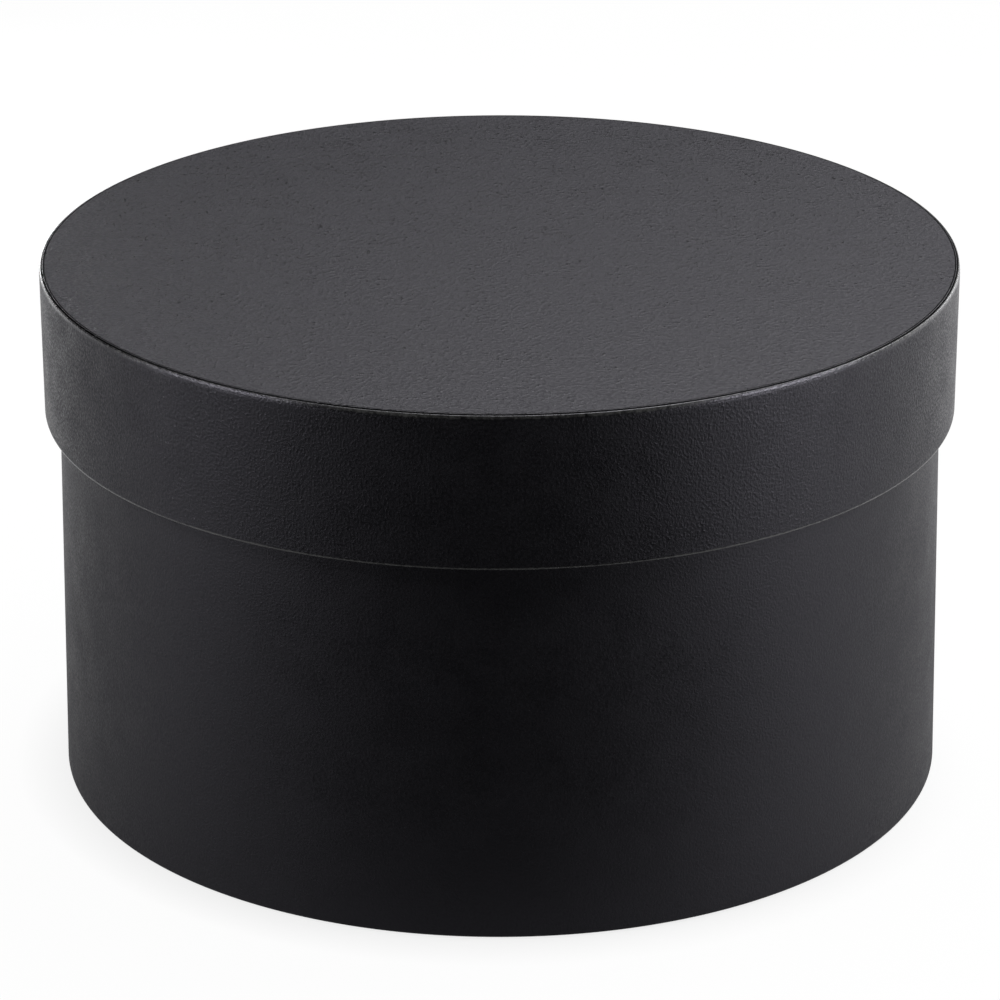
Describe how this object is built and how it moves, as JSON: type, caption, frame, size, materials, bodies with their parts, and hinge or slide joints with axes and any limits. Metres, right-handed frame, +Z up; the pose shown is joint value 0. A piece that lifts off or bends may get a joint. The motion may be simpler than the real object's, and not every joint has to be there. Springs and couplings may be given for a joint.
{
  "type": "round gift box",
  "caption": "Round rigid gift box, wider than tall, with a shallow lift-off lid that overhangs the body, wrapped all over in plain dark paper.",
  "frame": {"origin": "centre of the base on the surface that the box stands on", "axes": "+Z up along the axis of the box; -Y is the front; the lap joints of the paper face +Y"},
  "size_m": [0.2, 0.2002, 0.117],
  "materials": {
    "board": "grey board, cut edges",
    "wrap": "black uncoated paper with a fine grain and a low sheen",
    "lining": "black uncoated paper, matt"
  },
  "bodies": {
    "box": {"body_tube": "board", "base_board": "board", "body_wrap": "wrap", "base_cover": "wrap", "body_lining": "lining", "base_lining": "lining"},
    "lid": {"lid_band": "board", "lid_board": "board", "lid_wrap": "wrap", "lid_cover": "wrap", "lid_lining": "lining", "lid_inner_disc": "lining"}
  },
  "joints": [
    {"name": "lid_lift", "type": "slide", "parent": "box", "child": "lid", "axis": [0, 0, 1], "range_m": [0, 0.15]}
  ]
}
